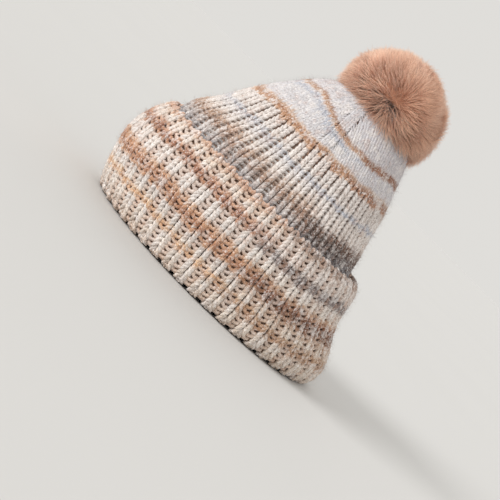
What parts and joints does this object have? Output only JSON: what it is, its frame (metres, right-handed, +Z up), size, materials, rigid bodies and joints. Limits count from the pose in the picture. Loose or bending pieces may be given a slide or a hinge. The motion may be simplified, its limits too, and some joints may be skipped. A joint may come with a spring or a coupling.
{
  "type": "pom pom beanie",
  "caption": "Rib-knit winter beanie with a deep turned-up cuff and a detachable fur pompom on a press stud.",
  "frame": {"origin": "centre of the head opening, on the plane that the folded rim stands on", "axes": "+Z up through the crown, -Y towards the wearer's front, +X towards the wearer's left"},
  "size_m": [0.1742, 0.236, 0.234],
  "materials": {
    "body_knit": "space-dyed rib knit",
    "cuff_knit": "space-dyed rib knit, turned up",
    "seam_yarn": "twisted yarn",
    "gather_yarn": "twisted yarn",
    "felt": "pressed felt",
    "thread": "waxed thread",
    "label": "woven satin, blank",
    "snap_metal": "nickel plated",
    "spring_wire": "bright wire",
    "pile_backing": "woven backing",
    "filling": "polyester fibre",
    "fur": "long soft pile"
  },
  "bodies": {
    "hat": {"crown_shell": "body_knit", "cuff": "cuff_knit", "back_seam": "seam_yarn", "cuff_seam": "seam_yarn", "cuff_tacks": "seam_yarn", "crown_gather_yarn": "gather_yarn", "crown_backing": "felt", "label_tacks": "thread"},
    "label": {"care_label": "label"},
    "stud": {"snap_stud": "snap_metal", "stud_thread": "thread"},
    "wire": {"snap_spring": "spring_wire"},
    "socket": {"snap_socket": "snap_metal", "socket_thread": "thread"},
    "pompom": {"pom_base": "felt", "base_stitches": "thread", "pom_backing": "pile_backing", "pom_filling": "filling", "pom_gather_thread": "thread", "pom_pile": "fur"}
  },
  "joints": [
    {"name": "pom_nod", "type": "hinge", "parent": "hat", "child": "stud", "pos_m": [0, 0.0065, 0.186], "axis": [1, 0, 0], "range_deg": [-12, 12], "stiffness_Nm_per_rad": 0.05},
    {"name": "pom_pull_off", "type": "slide", "parent": "stud", "child": "wire", "axis": [0, 0, 1], "range_m": [0, 0.05]},
    {"name": "pom_spin", "type": "hinge", "parent": "wire", "child": "socket", "pos_m": [0, 0.0065, 0.189], "axis": [0, 0, 1], "continuous": true},
    {"name": "pom_sway", "type": "hinge", "parent": "socket", "child": "pompom", "pos_m": [0, 0.0065, 0.192], "axis": [0, 1, 0], "range_deg": [-12, 12], "stiffness_Nm_per_rad": 0.05},
    {"name": "label_flip", "type": "hinge", "parent": "hat", "child": "label", "pos_m": [0, 0.07835, 0.064], "axis": [1, 0, 0], "range_deg": [-100, 15]}
  ]
}
